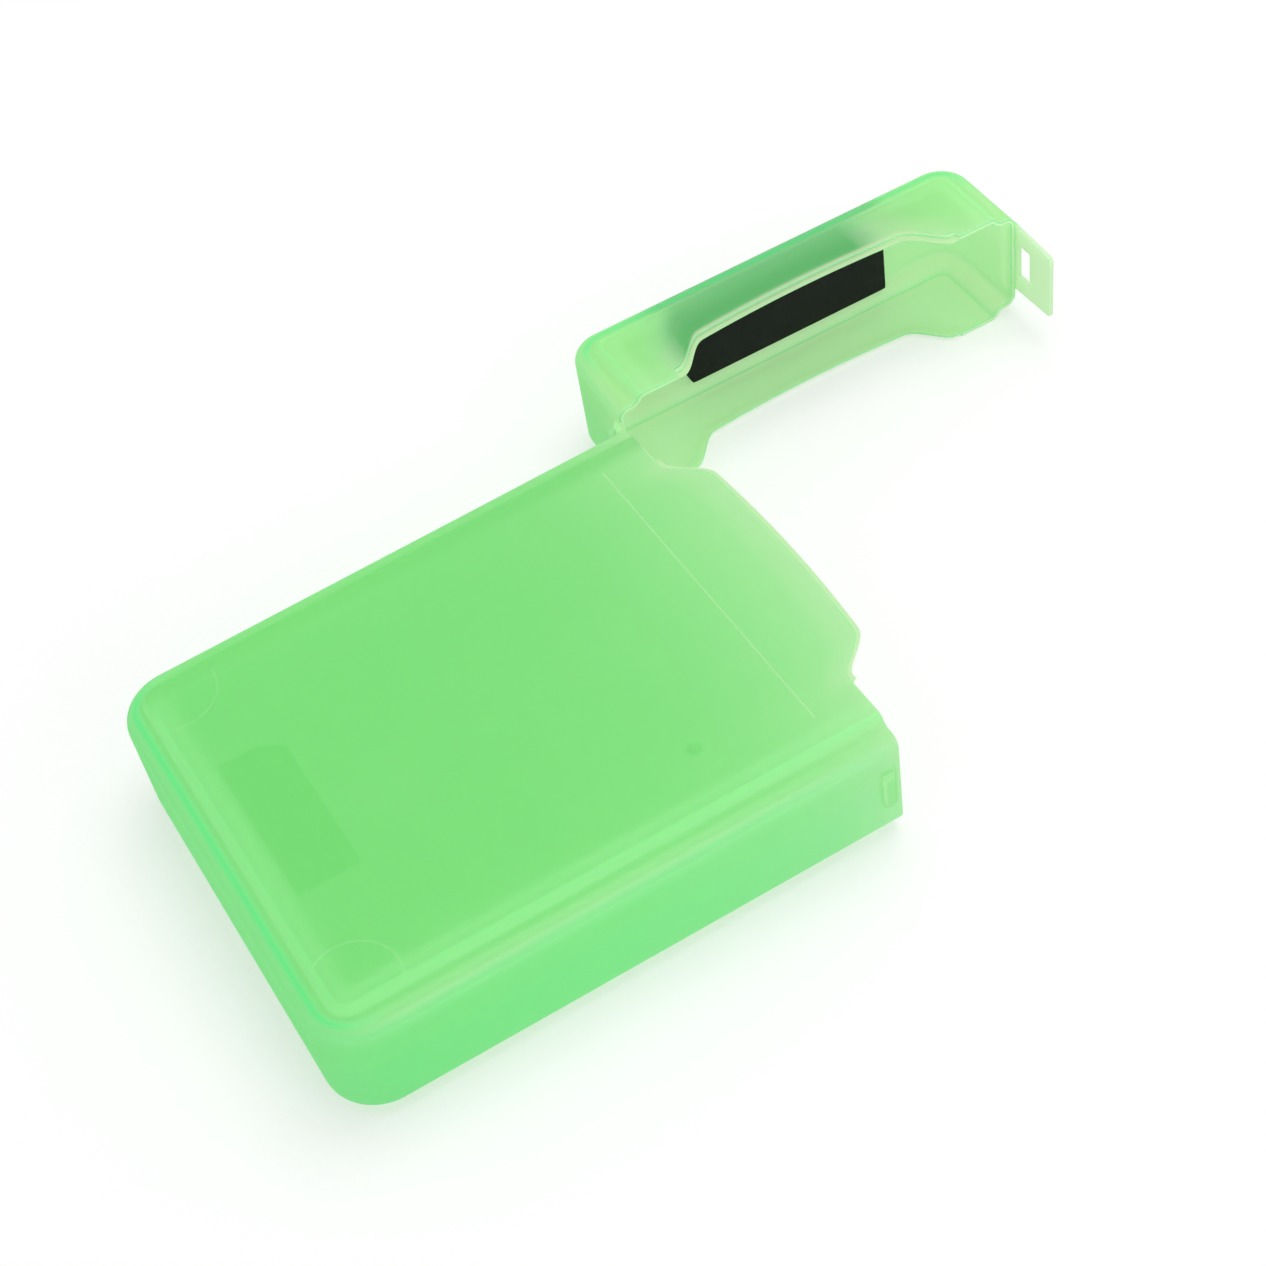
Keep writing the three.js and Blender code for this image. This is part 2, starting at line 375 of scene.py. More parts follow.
@dataclass(frozen=True)
class FrostedPlastic:
    """Translucent polypropylene with a fine spark-eroded texture, made paler where light is
    painted in by the mesh's marks.
    """

    name: str
    deep: Triple = (0.45, 0.90, 0.50)
    # Colour of the painted light.
    pale: Triple = (0.88, 0.90, 0.68)
    # Colour of the painted side tint.
    cool: Triple = (0.28, 0.92, 0.46)
    # Colour of the painted highlights.
    bright: Triple = (0.38, 0.98, 0.40)
    # Colour of the painted shade lines.
    mint: Triple = (0.06, 0.82, 0.25)
    # Colour of the box's stains and of the painted shade.
    dark: Triple = (0.025, 0.37, 0.065)
    glow: Triple = (0.69, 0.938, 0.666)
    through: float = 0.88
    # How much each painted mark lowers the share of light that comes through.
    rim_through: float = 0.22
    crest_through: float = 0.28
    side_through: float = 0.16
    fold_through: float = 0.45
    shade_through: float = 0.8
    least_through: float = 0.1
    roughness: float = 0.46
    specular: float = 0.4
    ior: float = 1.49
    cloud: float = 0.12
    cloud_scale: float = 0.035
    cloud_detail: float = 3.0
    grain: float = 2.4
    grain_detail: float = 2.0
    grain_weight: float = 0.6
    grain_gloss: float = 0.16
    grain_strength: float = 0.10
    grain_depth: float = 0.00012
    marks: PanelMarks | None = None

    def make(self) -> bpy.types.Material:
        """Build the material.

        Returns:
            The material.
        """
        kit = ShaderKit(bpy.data.materials.new(self.name))
        point, *parts = kit.place()
        rim, side, fold, crest, shade = (kit.mark(mark) for mark in Mark)
        cloud = kit.noise(point, self.cloud_scale, self.cloud_detail)
        grain = kit.noise(point, self.grain, self.grain_detail, self.grain_weight)
        # Painted light: the rim mark paints paleness, to which the panel's mould lines add.
        painted_light_and_lines = rim + (cloud - NOISE_MIDDLE) * self.cloud
        # Painted shade of the pad on the cap; on the box, stains and painted shade along the
        # hinge-side edge.
        stain_and_shade = shade
        if self.marks:
            stain_and_shade, scratch = self.marks.draw(kit, *parts)
            painted_light_and_lines = painted_light_and_lines + scratch
        painted_light_and_lines = painted_light_and_lines.most(0.0).least(1.0)
        # Painted side tint, paleness, highlights and shade lines mix into the plastic's colour.
        colour = kit.colour_mix(painted_light_and_lines, kit.colour_mix(side, self.deep, self.cool), self.pale)
        colour = kit.colour_mix(fold, kit.colour_mix(crest, colour, self.bright), self.mint)
        shell = kit.add(
            "ShaderNodeBsdfPrincipled",
            inputs={
                "Base Color": kit.colour_mix(stain_and_shade, colour, self.dark),
                "Roughness": self.roughness + (grain - NOISE_MIDDLE) * self.grain_gloss,
                "Specular IOR Level": self.specular,
                "IOR": self.ior,
                "Normal": kit.bump(grain, self.grain_strength, self.grain_depth),
            },
        )
        lit = kit.add("ShaderNodeBsdfTranslucent", inputs={"Color": kit.opaque(self.glow)})
        through = self.through - painted_light_and_lines * self.rim_through - side * self.side_through
        through = through - crest * self.crest_through - fold * self.fold_through
        through = (through - shade * self.shade_through).most(self.least_through)
        return kit.finish(kit.shader_mix(through, shell, lit))


@dataclass(frozen=True)
class ClosedCellFoam:
    """Black cushion foam: a matt skin with fine cells."""

    name: str = "black_foam_skin"
    colour: Triple = (0.008, 0.009, 0.0085)
    worn: Triple = (0.018, 0.020, 0.0185)
    cell_scale: float = 2.6
    cell_share: float = 0.5
    cell_strength: float = 0.5
    cell_depth: float = 0.0002
    cloud_scale: float = 0.2
    cloud_detail: float = 4.0
    cloud_share: float = 0.6
    cloud_gloss: float = 0.1
    roughness: float = 0.86
    specular: float = 0.15

    def make(self) -> bpy.types.Material:
        """Build the material.

        Returns:
            The material.
        """
        kit = ShaderKit(bpy.data.materials.new(self.name))
        point, *_ = kit.place()
        cells = kit.add(
            "ShaderNodeTexVoronoi",
            {"feature": "F1"},
            {"Vector": point, "Scale": self.cell_scale, "Randomness": 1.0},
            "Distance",
        )
        cloud = kit.noise(point, self.cloud_scale, self.cloud_detail)
        wear = (cloud * self.cloud_share + cells * self.cell_share).least(1.0)
        surface = kit.add(
            "ShaderNodeBsdfPrincipled",
            inputs={
                "Base Color": kit.colour_mix(wear, self.colour, self.worn),
                "Roughness": self.roughness + (cloud - NOISE_MIDDLE) * self.cloud_gloss,
                "Specular IOR Level": self.specular,
                "Normal": kit.bump(cells, self.cell_strength, self.cell_depth),
            },
        )
        return kit.finish(surface)


@dataclass(frozen=True)
class AdhesiveFilm:
    """Pale double-sided film with small trapped bubbles."""

    name: str = "adhesive_film_pale"
    colour: Triple = (0.74, 0.73, 0.62)
    bubble: Triple = (0.86, 0.86, 0.78)
    bubble_scale: float = 0.5
    bubble_detail: float = 2.0
    bubble_edge: Pair = (0.58, 0.66)
    bubble_gloss: float = 0.2
    bubble_strength: float = 0.3
    bubble_depth: float = 0.0001
    roughness: float = 0.42

    def make(self) -> bpy.types.Material:
        """Build the material.

        Returns:
            The material.
        """
        kit = ShaderKit(bpy.data.materials.new(self.name))
        point, *_ = kit.place()
        noise = kit.noise(point, self.bubble_scale, self.bubble_detail)
        spots = kit.smooth(noise, *self.bubble_edge)
        surface = kit.add(
            "ShaderNodeBsdfPrincipled",
            inputs={
                "Base Color": kit.colour_mix(spots, self.colour, self.bubble),
                "Roughness": self.roughness + spots * self.bubble_gloss,
                "Normal": kit.bump(spots, self.bubble_strength, self.bubble_depth),
            },
        )
        return kit.finish(surface)


# Mesh tools


class Draft:
    """Gathers points and faces of one piece, in millimetres."""

    def __init__(self) -> None:
        """Start empty."""
        self.points: list[np.ndarray] = []
        self.marks: dict[Mark, list[np.ndarray]] = {mark: [] for mark in Mark}
        self.faces: list[tuple[int, ...]] = []
        self.count = 0

    def put(self, points: np.ndarray, marks: Mapping[Mark, Any] | None = None) -> np.ndarray:
        """Add points.

        Args:
            points: An array whose last axis is x, y, z.
            marks: How much of each mark the points have.

        Returns:
            Their numbers, in the shape of the array.
        """
        shape = points.shape[:-1]
        total = math.prod(shape)
        numbers = np.arange(self.count, self.count + total).reshape(shape)
        self.points.append(points.reshape(-1, 3))
        for mark, parts in self.marks.items():
            parts.append(np.broadcast_to((marks or {}).get(mark, 0.0), shape).reshape(-1))
        self.count += total
        return numbers

    def weave(self, grid: np.ndarray) -> None:
        """Add a quad for each cell of a grid of point numbers."""
        corners = grid[:-1, :-1], grid[1:, :-1], grid[1:, 1:], grid[:-1, 1:]
        self.faces.extend(zip(*(corner.reshape(-1).tolist() for corner in corners)))

    def weave_round(self, rings: Sequence[np.ndarray]) -> None:
        """Add quads between closed rings of point numbers."""
        grid = np.stack(rings)
        self.weave(np.concatenate([grid, grid[:, :1]], 1))

    def merge(self, other: bmesh.types.BMesh, marks: Mapping[Mark, Any]) -> None:
        """Add a finished bmesh, and free it.

        Args:
            other: The mesh to add.
            marks: How much of each mark its points have.
        """
        other.verts.index_update()
        numbers = self.put(np.array([v.co[:] for v in other.verts]), marks)
        self.faces.extend(tuple(int(numbers[v.index]) for v in f.verts) for f in other.faces)
        other.free()

    def make(self, name: str, place: Matrix, material: bpy.types.Material) -> bpy.types.Object:
        """Make the object.

        Args:
            name: The piece's name.
            place: Where the moulded piece goes, in millimetres.
            material: Its finish.

        Returns:
            An object at the origin, in metres.
        """
        points = np.concatenate(self.points)
        turned = points @ np.array(place.to_3x3()).T + np.array(place.translation)
        mesh = bpy.data.meshes.new(name)
        mesh.from_pydata((turned * MM).tolist(), [], self.faces)
        for mark, parts in self.marks.items():
            layer = mesh.attributes.new(mark.value, "FLOAT", "POINT")
            layer.data.foreach_set("value", np.concatenate(parts).astype(np.float32))
        return link_piece(name, mesh, material)


def close_up(mesh: bpy.types.Mesh) -> None:
    """Merge doubled points, close slits and turn the faces outwards.

    Args:
        mesh: The mesh to change.
    """
    made = bmesh.new()
    made.from_mesh(mesh)
    bmesh.ops.remove_doubles(made, verts=made.verts, dist=SAME_POINT)
    bmesh.ops.dissolve_degenerate(made, edges=made.edges, dist=SAME_POINT)
    bmesh.ops.holes_fill(made, edges=[edge for edge in made.edges if edge.is_boundary])
    bmesh.ops.recalc_face_normals(made, faces=made.faces)
    if made.calc_volume(signed=True) < 0:
        bmesh.ops.reverse_faces(made, faces=made.faces)
    made.to_mesh(mesh)
    made.free()


def link_piece(name: str, mesh: bpy.types.Mesh, material: bpy.types.Material) -> bpy.types.Object:
    """Make a smooth object of a mesh, with its faces outwards.

    Args:
        name: The piece's name.
        mesh: Its mesh, in metres.
        material: Its finish.

    Returns:
        The object, in the scene.
    """
    close_up(mesh)
    mesh.shade_smooth()
    mesh.materials.clear()
    mesh.materials.append(material)
    piece = bpy.data.objects.new(name, mesh)
    bpy.context.scene.collection.objects.link(piece)
    return piece


def plain_mesh(carrier: bpy.types.Object, name: str) -> bpy.types.Mesh:
    """Turn what an object's modifiers make into a plain mesh, and remove them.

    Args:
        carrier: The object.
        name: Name of the mesh.

    Returns:
        The mesh.
    """
    graph = bpy.context.evaluated_depsgraph_get()
    mesh = bpy.data.meshes.new_from_object(carrier.evaluated_get(graph))
    mesh.name = name
    carrier.modifiers.clear()
    return mesh


def weld(
    piece: bpy.types.Object, fittings: Mapping[str, bmesh.types.BMesh], place: Matrix
) -> None:
    """Join fittings to a shell, as one moulding with no walls inside it.

    Args:
        piece: The shell.
        fittings: Meshes that reach into its wall, as moulded, by name; they are freed.
        place: Where the moulded piece goes, in millimetres.
    """
    parts = []
    for name, fitting in fittings.items():
        draft = Draft()
        # Fittings get the painted side tint of the walls.
        draft.merge(fitting, {Mark.SIDE: 1.0})
        parts.append(draft.make(name, place, piece.data.materials[0]))
    for part in parts:
        joint = piece.modifiers.new(part.name, "BOOLEAN")
        joint.operation = "UNION"
        joint.solver = "EXACT"
        joint.object = part
    loose, piece.data = piece.data, plain_mesh(piece, piece.name)
    close_up(piece.data)
    piece.data.set_sharp_from_angle(angle=math.radians(SHARP_ANGLE))
    bpy.data.meshes.remove(loose)
    for part in parts:
        bpy.data.objects.remove(part)


def ramp(values: np.ndarray, low: float, high: float) -> np.ndarray:
    """Rise evenly from 0 at low to 1 at high.

    Args:
        values: The values to read.
        low: Where the rise starts, which may be above high.
        high: Where it ends.

    Returns:
        Shares from 0 to 1.
    """
    return np.clip((values - low) / (high - low), 0, 1)


def lift(plan: np.ndarray, height: Any) -> np.ndarray:
    """Give points in plan a height.

    Args:
        plan: An array whose last axis is x, y.
        height: One height, or an array of them.

    Returns:
        The points with x, y, z.
    """
    return np.concatenate([plan, np.broadcast_to(height, plan.shape[:-1])[..., None]], -1)


# The moulded form


@dataclass(frozen=True)
class CaseForm:
    """Sizes that both shells share."""

    mouth_width: float = 115.0
    body_length: float = 135.0
    cap_depth: float = 29.4
    side_height: float = 29.2
    wall: float = 1.4
    draft: float = 0.66
    body_corner: float = 12.5
    cap_corner: float = 8.5
    panel_corner: float = 2.4
    edge_radius: float = 3.0
    shoulder: float = 0.6
    step_run: float = 3.8
    panel_rise: float = 2.3
    bulge_reach: float = 9.5
    bulge_crown: float = 1.2
    bulge_half: float = 33.7
    flank: float = 10.6
    lap_reach: float = 1.2
    lap_half: float = 40.7
    lap_ramp: float = 0.5
    seam_gap: float = 0.4
    fit_gap: float = 0.3
    hinge_reach: float = 3.0
    hinge_setback: float = 1.3
    hinge_margin: float = 0.6
    leaf: float = 1.2
    web: float = 0.4
    web_radius: float = 0.8
    open_angle: float = 89.0
    tongue_reach: float = 13.7
    tongue_margin: float = 1.1
    tongue_taper: float = 0.8
    tongue: float = 1.2
    tongue_round: float = 1.0
    root_set: float = 0.8
    root_length: float = 4.2
    root_ramp: float = 2.6
    window_length: float = 4.8
    window_height: float = 10.4
    window_from_rim: float = 0.2
    catch_ramp: float = 2.2
    fitting_round: float = 0.22
    side_rows: tuple[float, ...] = (0.0, 0.3, 0.6, 0.85, 0.96)
    edge_steps: int = 9
    step_steps: int = 7
    slope_step: float = 0.01

    @property
    def half_width(self) -> float:
        """Half of the mouth's width."""
        return self.mouth_width / 2

    @property
    def middle(self) -> float:
        """Height of the middle of the sides."""
        return self.side_height / 2 + self.panel_rise

    @property
    def flat_half(self) -> float:
        """Half of the height of the flat part of the sides."""
        return self.side_height / 2 - self.edge_radius

    @property
    def hinge_half(self) -> float:
        """Half of the hinge's height."""
        return self.flat_half - self.hinge_margin

    @property
    def tongue_half(self) -> float:
        """Half of the tongue's height at its root."""
        return self.flat_half - self.tongue_margin

    @property
    def step_inset(self) -> float:
        """How far in from the side the step starts."""
        return self.edge_radius + self.shoulder

    @property
    def panel_inset(self) -> float:
        """How far in from the side the panel starts."""
        return self.step_inset + self.step_run

    @property
    def lap(self) -> float:
        """Thickness of each layer of the lap joint."""
        return (self.wall - self.fit_gap) / 2

    @property
    def mouth_x(self) -> float:
        """Where the straight part of the mouth is."""
        return self.body_length / 2

    @property
    def cap_rim_x(self) -> float:
        """Where the cap's rim is."""
        return self.mouth_x + self.seam_gap

    @property
    def root_x(self) -> float:
        """Where the tongue leaves its root."""
        return self.cap_rim_x + self.root_set

    @property
    def window_x(self) -> Pair:
        """Where the tongue's window ends and starts."""
        front = self.mouth_x - self.window_from_rim
        return (front - self.window_length, front)

    @property
    def pivot(self) -> Pair:
        """The hinge axis in plan."""
        x = self.mouth_x + self.seam_gap / 2 - self.hinge_setback
        return (x, self.half_width + self.hinge_reach)

    @property
    def leaf_end(self) -> float:
        """How far out the hinge leaves stand."""
        return self.pivot[1] - self.web_radius - self.fit_gap

    @property
    def in_wall(self) -> float:
        """The middle of the side wall, which fittings reach into."""
        return self.half_width - self.wall / 2

    @property
    def latch_inner(self) -> float:
        """The tongue's inner face."""
        return -self.half_width - self.fit_gap

    @property
    def latch_outer(self) -> float:
        """The tongue's outer face."""
        return self.latch_inner - self.tongue

    @property
    def open_place(self) -> Matrix:
        """Where the open cap is.

        Returns:
            The turn about the hinge axis that opens closed pieces, in millimetres.
        """
        centre = Vector((*self.pivot, 0.0))
        turn = Matrix.Rotation(math.radians(self.open_angle), 4, "Z")
        return Matrix.Translation(centre) @ turn @ Matrix.Translation(-centre)

    def fitting(self, outline: Sequence[Pair], half: float) -> bmesh.types.BMesh:
        """Make a fitting on a side wall: an upright prism with rounded edges.

        Args:
            outline: Corners in plan.
            half: Half of its height.

        Returns:
            The prism.
        """
        made = bmesh.new()
        lower = [made.verts.new((x, y, self.middle - half)) for x, y in outline]
        upper = [made.verts.new((x, y, self.middle + half)) for x, y in outline]
        made.faces.new(lower)
        made.faces.new(upper)
        for i in range(len(outline)):
            made.faces.new((lower[i - 1], lower[i], upper[i], upper[i - 1]))
        bmesh.ops.recalc_face_normals(made, faces=made.faces)
        bmesh.ops.bevel(
            made,
            geom=made.edges[:],
            offset=self.fitting_round,
            segments=BEVEL_STEPS,
            profile=0.5,
            affect="EDGES",
            clamp_overlap=True,
        )
        return made

    def section(self, offset: float) -> np.ndarray:
        """Half of the wall's section, from the middle of the side to the panel.

        Args:
            offset: Depth below the outer face.

        Returns:
            Rows of inset from the side and height above the middle.
        """
        top = self.side_height / 2
        sweep = 2 * math.atan(self.panel_rise / self.step_run)
        bend = self.step_run / 2 / math.sin(sweep)
        crown = top + self.panel_rise - bend
        edge, steps = self.edge_radius, self.step_steps
        rows = [(offset, self.flat_half * share) for share in self.side_rows]
        arcs = (
            (edge, self.flat_half, edge - offset, 2 * QUARTER, QUARTER, self.edge_steps),
            (self.step_inset, top + bend, bend + offset, -QUARTER, sweep - QUARTER, steps),
            (self.panel_inset, crown, bend - offset, QUARTER + sweep, QUARTER, steps),
        )
        for x, y, radius, first, last, count in arcs:
            for angle in np.linspace(first, last, count):
                rows.append((x + radius * math.cos(angle), y + radius * math.sin(angle)))
        pairs = zip(rows, rows[1:])
        kept = [row for before, row in pairs if math.dist(before, row) > SAME_POINT]
        return np.array([rows[0], *kept])

    def seam(self, y: np.ndarray) -> np.ndarray:
        """Where the wavy seam is.

        Args:
            y: Places across the mouth.

        Returns:
            The seam's x.
        """
        inner, outer = self.bulge_half - self.flank / 2, self.bulge_half + self.flank / 2
        away = np.abs(y)
        reach = self.bulge_reach - self.bulge_crown * np.minimum(1, away / inner) ** 2
        share = ramp(away, inner, outer)
        return self.mouth_x + reach * (1 - share * share * (3 - 2 * share))

    def seam_out(self, y: np.ndarray, facing: int) -> np.ndarray:
        """Direction square to the seam, in plan.

        Args:
            y: Places across the mouth.
            facing: +1 towards the cap, -1 towards the box.

        Returns:
            Unit vectors.
        """
        step = self.slope_step
        slope = (self.seam(y + step) - self.seam(y - step)) / (2 * step)
        out = np.stack([np.ones_like(y), -slope], -1)
        return facing * out / np.linalg.norm(out, axis=-1, keepdims=True)

    def lap_share(self, y: np.ndarray) -> np.ndarray:
        """Tell how much of the lap joint there is at places across the mouth, from 0 to 1."""
        return ramp(np.abs(y), self.lap_half, self.lap_half - self.lap_ramp)

    def corner_at(self, side_radius: float, inset: float) -> float:
        """Radius of a corner in plan, which tightens from the side to the panel.

        Args:
            side_radius: Its radius at the side.
            inset: Distance from the side.

        Returns:
            The radius at that inset.
        """
        return side_radius + (self.panel_corner - side_radius) * inset / self.panel_inset

    def narrow(self, points: np.ndarray) -> np.ndarray:
        """Narrow the shells away from the mouth, so that they leave their mould.

        Args:
            points: Points of a shell.

        Returns:
            The points with draft.
        """
        rate = math.tan(math.radians(self.draft)) / self.half_width
        drafted = points.copy()
        drafted[..., 1] *= 1 - np.abs(points[..., 0] - self.mouth_x) * rate
        return drafted


@dataclass(frozen=True)
class SoftLine:
    """A soft line that runs round a shell beside its steps, in millimetres."""

    place: float
    width: float
    share: float = 1.0

    def at(self, insets: np.ndarray) -> np.ndarray:
        """Tell how much of the line there is at these distances, up to its share."""
        return self.share * np.exp(-(((insets - self.place) / self.width) ** 2))


@dataclass
class MouldedShell:
    """One shell of the case: a tray of even wall, closed at one end and cut off along the seam.

    The soft lines paint the bands of highlight and shade along the fillets and steps. Their
    places are measured from the side, from the foot of the step or from the panel's edge.
    """

    form: CaseForm
    closed_x: float
    corner: float
    facing: int
    edge: float
    lap_reach: float
    split: float
    rows: int
    corner_steps: int = 14
    across_steps: int = 150
    near_rows: tuple[float, ...] = (0.0, 0.35, 0.7, 0.86, 1.0, 1.15, 2.0)
    far_rows: Pair = (1.4, 0.45)
    round_: float = 0.32
    round_angles: Triple = (QUARTER / 3, QUARTER * 2 / 3, QUARTER)
    lip_round: float = 0.18
    lip_rows: Triple = (0.0, 0.7, 1.0)
    lip_slit: float = 0.02
    lip_limit: float = 2.2
    # Painted paleness of the lip band beside the lap joint, fading away from the rim.
    lip_width: float = 0.9
    lip_glow: float = 0.3
    lip_fade: float = 2.5
    lip_reach: float = 8.0
    # Painted shade line in the groove of the lap joint.
    groove: float = 0.8
    groove_line: Pair = (1.0, 0.1)
    # Painted shade outline on the rim's rounded edges.
    outline: float = 0.3
    # Painted light that comes in through the mouth: how fast it fades and how strong it is.
    fade: float = 25.0
    pale: float = 0.54
    # Painted paleness of the inner face, and more of it on the inner walls.
    inside: float = 0.0
    inside_walls: float = 1.6
    # Share of the painted highlights left on the hinge side.
    hinge_bands: float = 0.0
    hinge_side: Pair = (42.0, 47.0)
    end_reach: Pair = (16.8, 4.8)
    side_reach: Pair = (1.8, 0.6)
    # Painted shade line low on the sides.
    side_foot: SoftLine = SoftLine(0.4, 0.4, 0.5)
    # Painted highlight lines along the upper edge fillet.
    side_pale: tuple[SoftLine, SoftLine] = (SoftLine(1.1, 0.5, 0.4), SoftLine(2.8, 1.4, 0.3))
    # Painted shade line at the foot of the step, near the closed end.
    step_fold: SoftLine = SoftLine(-0.7, 1.2)
    # Painted highlight on the step's crest.
    step_crest: SoftLine = SoftLine(-1.0, 1.3, 0.8)
    # Painted highlight inside the panel's border.
    panel_crest: SoftLine = SoftLine(2.0, 1.8, 0.35)
    # Inside: a painted shade line at the panel's edge, and painted paleness along the step and
    # panel.
    inner_fold: SoftLine = SoftLine(0.0, 0.7, 0.65)
    inner_step: SoftLine = SoftLine(0.4, 2.0, 0.47)
    inner_panel: SoftLine = SoftLine(1.8, 1.0, 0.5)
    # Painted shade where the dark pad shows through the upper panel.
    shade: float = 0.0
    shade_left: Pair = (43.0, 34.0)
    shade_right: Pair = (-29.0, -18.0)
    shade_start: Pair = (1.6, 3.2)
    shade_end: Pair = (2.0, 17.0)
    shade_loss: float = 0.8

    def row_shares(self, length: float) -> np.ndarray:
        """Places of the rows between the seam and the far ring.

        Args:
            length: Distance that the rows span.

        Returns:
            Shares from 0, close together at the rim and at the far end.
        """
        near = np.array(self.near_rows) / length
        far = 1 - np.array(self.far_rows) / length
        middle = np.linspace(near[-1], far[0], self.rows - len(near) - len(far) + 2)[1:-1]
        return np.concatenate([near, middle, far])

    def edges(self, y: np.ndarray) -> tuple[np.ndarray, np.ndarray]:
        """How far both layers of the rim reach past the seam.

        Args:
            y: Places across the mouth.

        Returns:
            The outer and the inner layer's reach.
        """
        inner = np.full_like(y, self.edge)
        return inner + self.lap_reach * self.form.lap_share(y), inner

    def ring(self, inset: float) -> np.ndarray:
        """Plan outline at one inset, from the mouth round the closed end and back to the mouth.

        Args:
            inset: Distance from the side.

        Returns:
            Points in plan.
        """
        form = self.form
        radius = form.corner_at(self.corner, inset)
        centre_x = self.closed_x + self.facing * (inset + radius)
        side = form.half_width - inset
        centre_y = side - radius
        start = form.mouth_x + self.facing * (self.edge - self.round_)
        shares = self.row_shares(abs(centre_x - start))
        arm = np.stack([start + (centre_x - start) * shares, np.full(len(shares), side)], -1)
        angles = np.linspace(0, QUARTER, self.corner_steps + 1)
        corner_x = centre_x - self.facing * radius * np.sin(angles)
        corner = np.stack([corner_x, centre_y + radius * np.cos(angles)], -1)
        across_y = np.linspace(centre_y, -centre_y, self.across_steps + 2)[1:-1]
        across_x = np.full(len(across_y), self.closed_x + self.facing * inset)
        half = np.concatenate([arm, corner])
        across = np.stack([across_x, across_y], -1)
        return np.concatenate([half, across, (half * (1, -1))[::-1]])

    def near_rim(self, distance: np.ndarray) -> np.ndarray:
        """Turn the distance from the rim into painted paleness for the light that comes in
        through the mouth.
        """
        return self.pale * np.exp(-np.maximum(distance, 0) / self.fade)

    def bands(self, points: np.ndarray) -> np.ndarray:
        """Tell how much of the painted highlight bands is left, with fewer of them on the hinge
        side.
        """
        return 1 - (1 - self.hinge_bands) * ramp(points[..., 1], *self.hinge_side)

    def step_marks(
        self, points: np.ndarray, insets: np.ndarray, inner: bool
    ) -> dict[Mark, np.ndarray]:
        """Mark the painted highlights, shade lines, paleness and side tint that run round the
        shell along its fillets and steps.

        Args:
            points: Points of the sides.
            insets: Their distances from the side.
            inner: Whether this is the inside.

        Returns:
            How much of each mark the points have.
        """
        form = self.form
        from_step, from_panel = insets - form.step_inset, insets - form.panel_inset
        upper = points[..., 2] > form.middle
        bands = upper * self.bands(points)
        if inner:
            # Inside: painted shade line and painted paleness.
            fold = self.inner_fold.at(from_panel)
            crest = side = np.zeros_like(insets)
            pale = self.inside_walls * self.inside + self.inner_step.at(from_step)
        else:
            # Outside: painted shade lines, highlights, pale lines and side tint.
            end = ramp(np.abs(points[..., 0] - self.closed_x), *self.end_reach)
            fold = self.step_fold.at(from_step) * end * upper + self.side_foot.at(insets) * ~upper
            crest = self.step_crest.at(from_panel) * bands
            pale = sum(line.at(insets) for line in self.side_pale) * (1 - end) * bands
            side = ramp(insets, *self.side_reach)
        mouth = form.mouth_x + self.facing * self.edge
        return {
            Mark.RIM: np.maximum(self.near_rim(np.abs(points[..., 0] - mouth)), pale),
            Mark.FOLD: fold,
            Mark.CREST: crest,
            Mark.SIDE: side,
            Mark.SHADE: self.pad_shade(points),
        }

    def panel_marks(
        self, seam: np.ndarray, panel: np.ndarray, inner: bool
    ) -> dict[Mark, np.ndarray]:
        """Mark the painted paleness of the rim and of the lip of the lap joint, the painted shade
        line of its groove and the painted highlight at the panel's borders.

        Args:
            seam: Where the seam is beside each row, in plan.
            panel: Points of the panel in plan, in rows from the rim.
            inner: Whether this is the inside.

        Returns:
            How much of each mark the points have.
        """
        form = self.form
        away = np.linalg.norm(panel - panel[:, :1], axis=-1)
        from_side = form.half_width - np.abs(panel[..., 1])
        inset = np.minimum(from_side, np.abs(panel[..., 0] - self.closed_x)) - form.panel_inset
        rim = self.near_rim(away)
        if inner:
            return {Mark.RIM: np.maximum(rim, self.inside + self.inner_panel.at(inset))}
        lap = form.lap_share(seam[:, 1])[:, None]
        # Painted paleness of the lip, painted shade in the groove and painted highlight at the
        # border.
        glow = self.lip_glow * np.exp(-away / self.lip_fade) + self.pale
        lip = lap * np.where(away < self.lip_width, 1.0, glow) * (away < self.lip_reach)
        groove, half = self.groove_line
        return {
            Mark.RIM: np.maximum(rim, lip),
            Mark.FOLD: lap * (np.abs(away - groove) < half) * self.groove,
            Mark.CREST: self.panel_crest.at(inset) * self.bands(panel),
        }

    def pad_shade(self, points: np.ndarray) -> np.ndarray:
        """How much painted shade stands for the dark pad behind the upper panel showing through
        it.

        Args:
            points: Points of the shell.

        Returns:
            Shares from 0 to 1.
        """
        x, y, z = (points[..., i] for i in range(3))
        across = ramp(y, *self.shade_left) * ramp(y, *self.shade_right)
        away = x - self.form.seam(y)
        along = 1 - self.shade_loss * ramp(away, *self.shade_end) ** 3
        along = along * ramp(away, *self.shade_start)
        return self.shade * across * along * (z > self.form.middle)

    def panel(self, border: np.ndarray, inner: bool) -> tuple[np.ndarray, np.ndarray]:
        """Lay rows over a panel, from the rim to its far border.

        Args:
            border: The panel's border in plan.
            inner: Whether this is the inside.

        Returns:
            Where the seam is beside each row, and the panel's points, both in plan.
        """
        far = border[self.rows : -self.rows]
        y = far[:, 1]
        seam = np.stack([self.form.seam(y), y], -1)
        reach = self.edges(y)[int(inner)] - self.round_
        ends = seam + self.form.seam_out(y, self.facing) * reach[:, None]
        shares = self.row_shares(abs(far[0, 0] - border[0, 0]))
        panel = ends[:, None] + (far - ends)[:, None] * shares[:, None]
        return seam[1:-1], panel[1:-1]

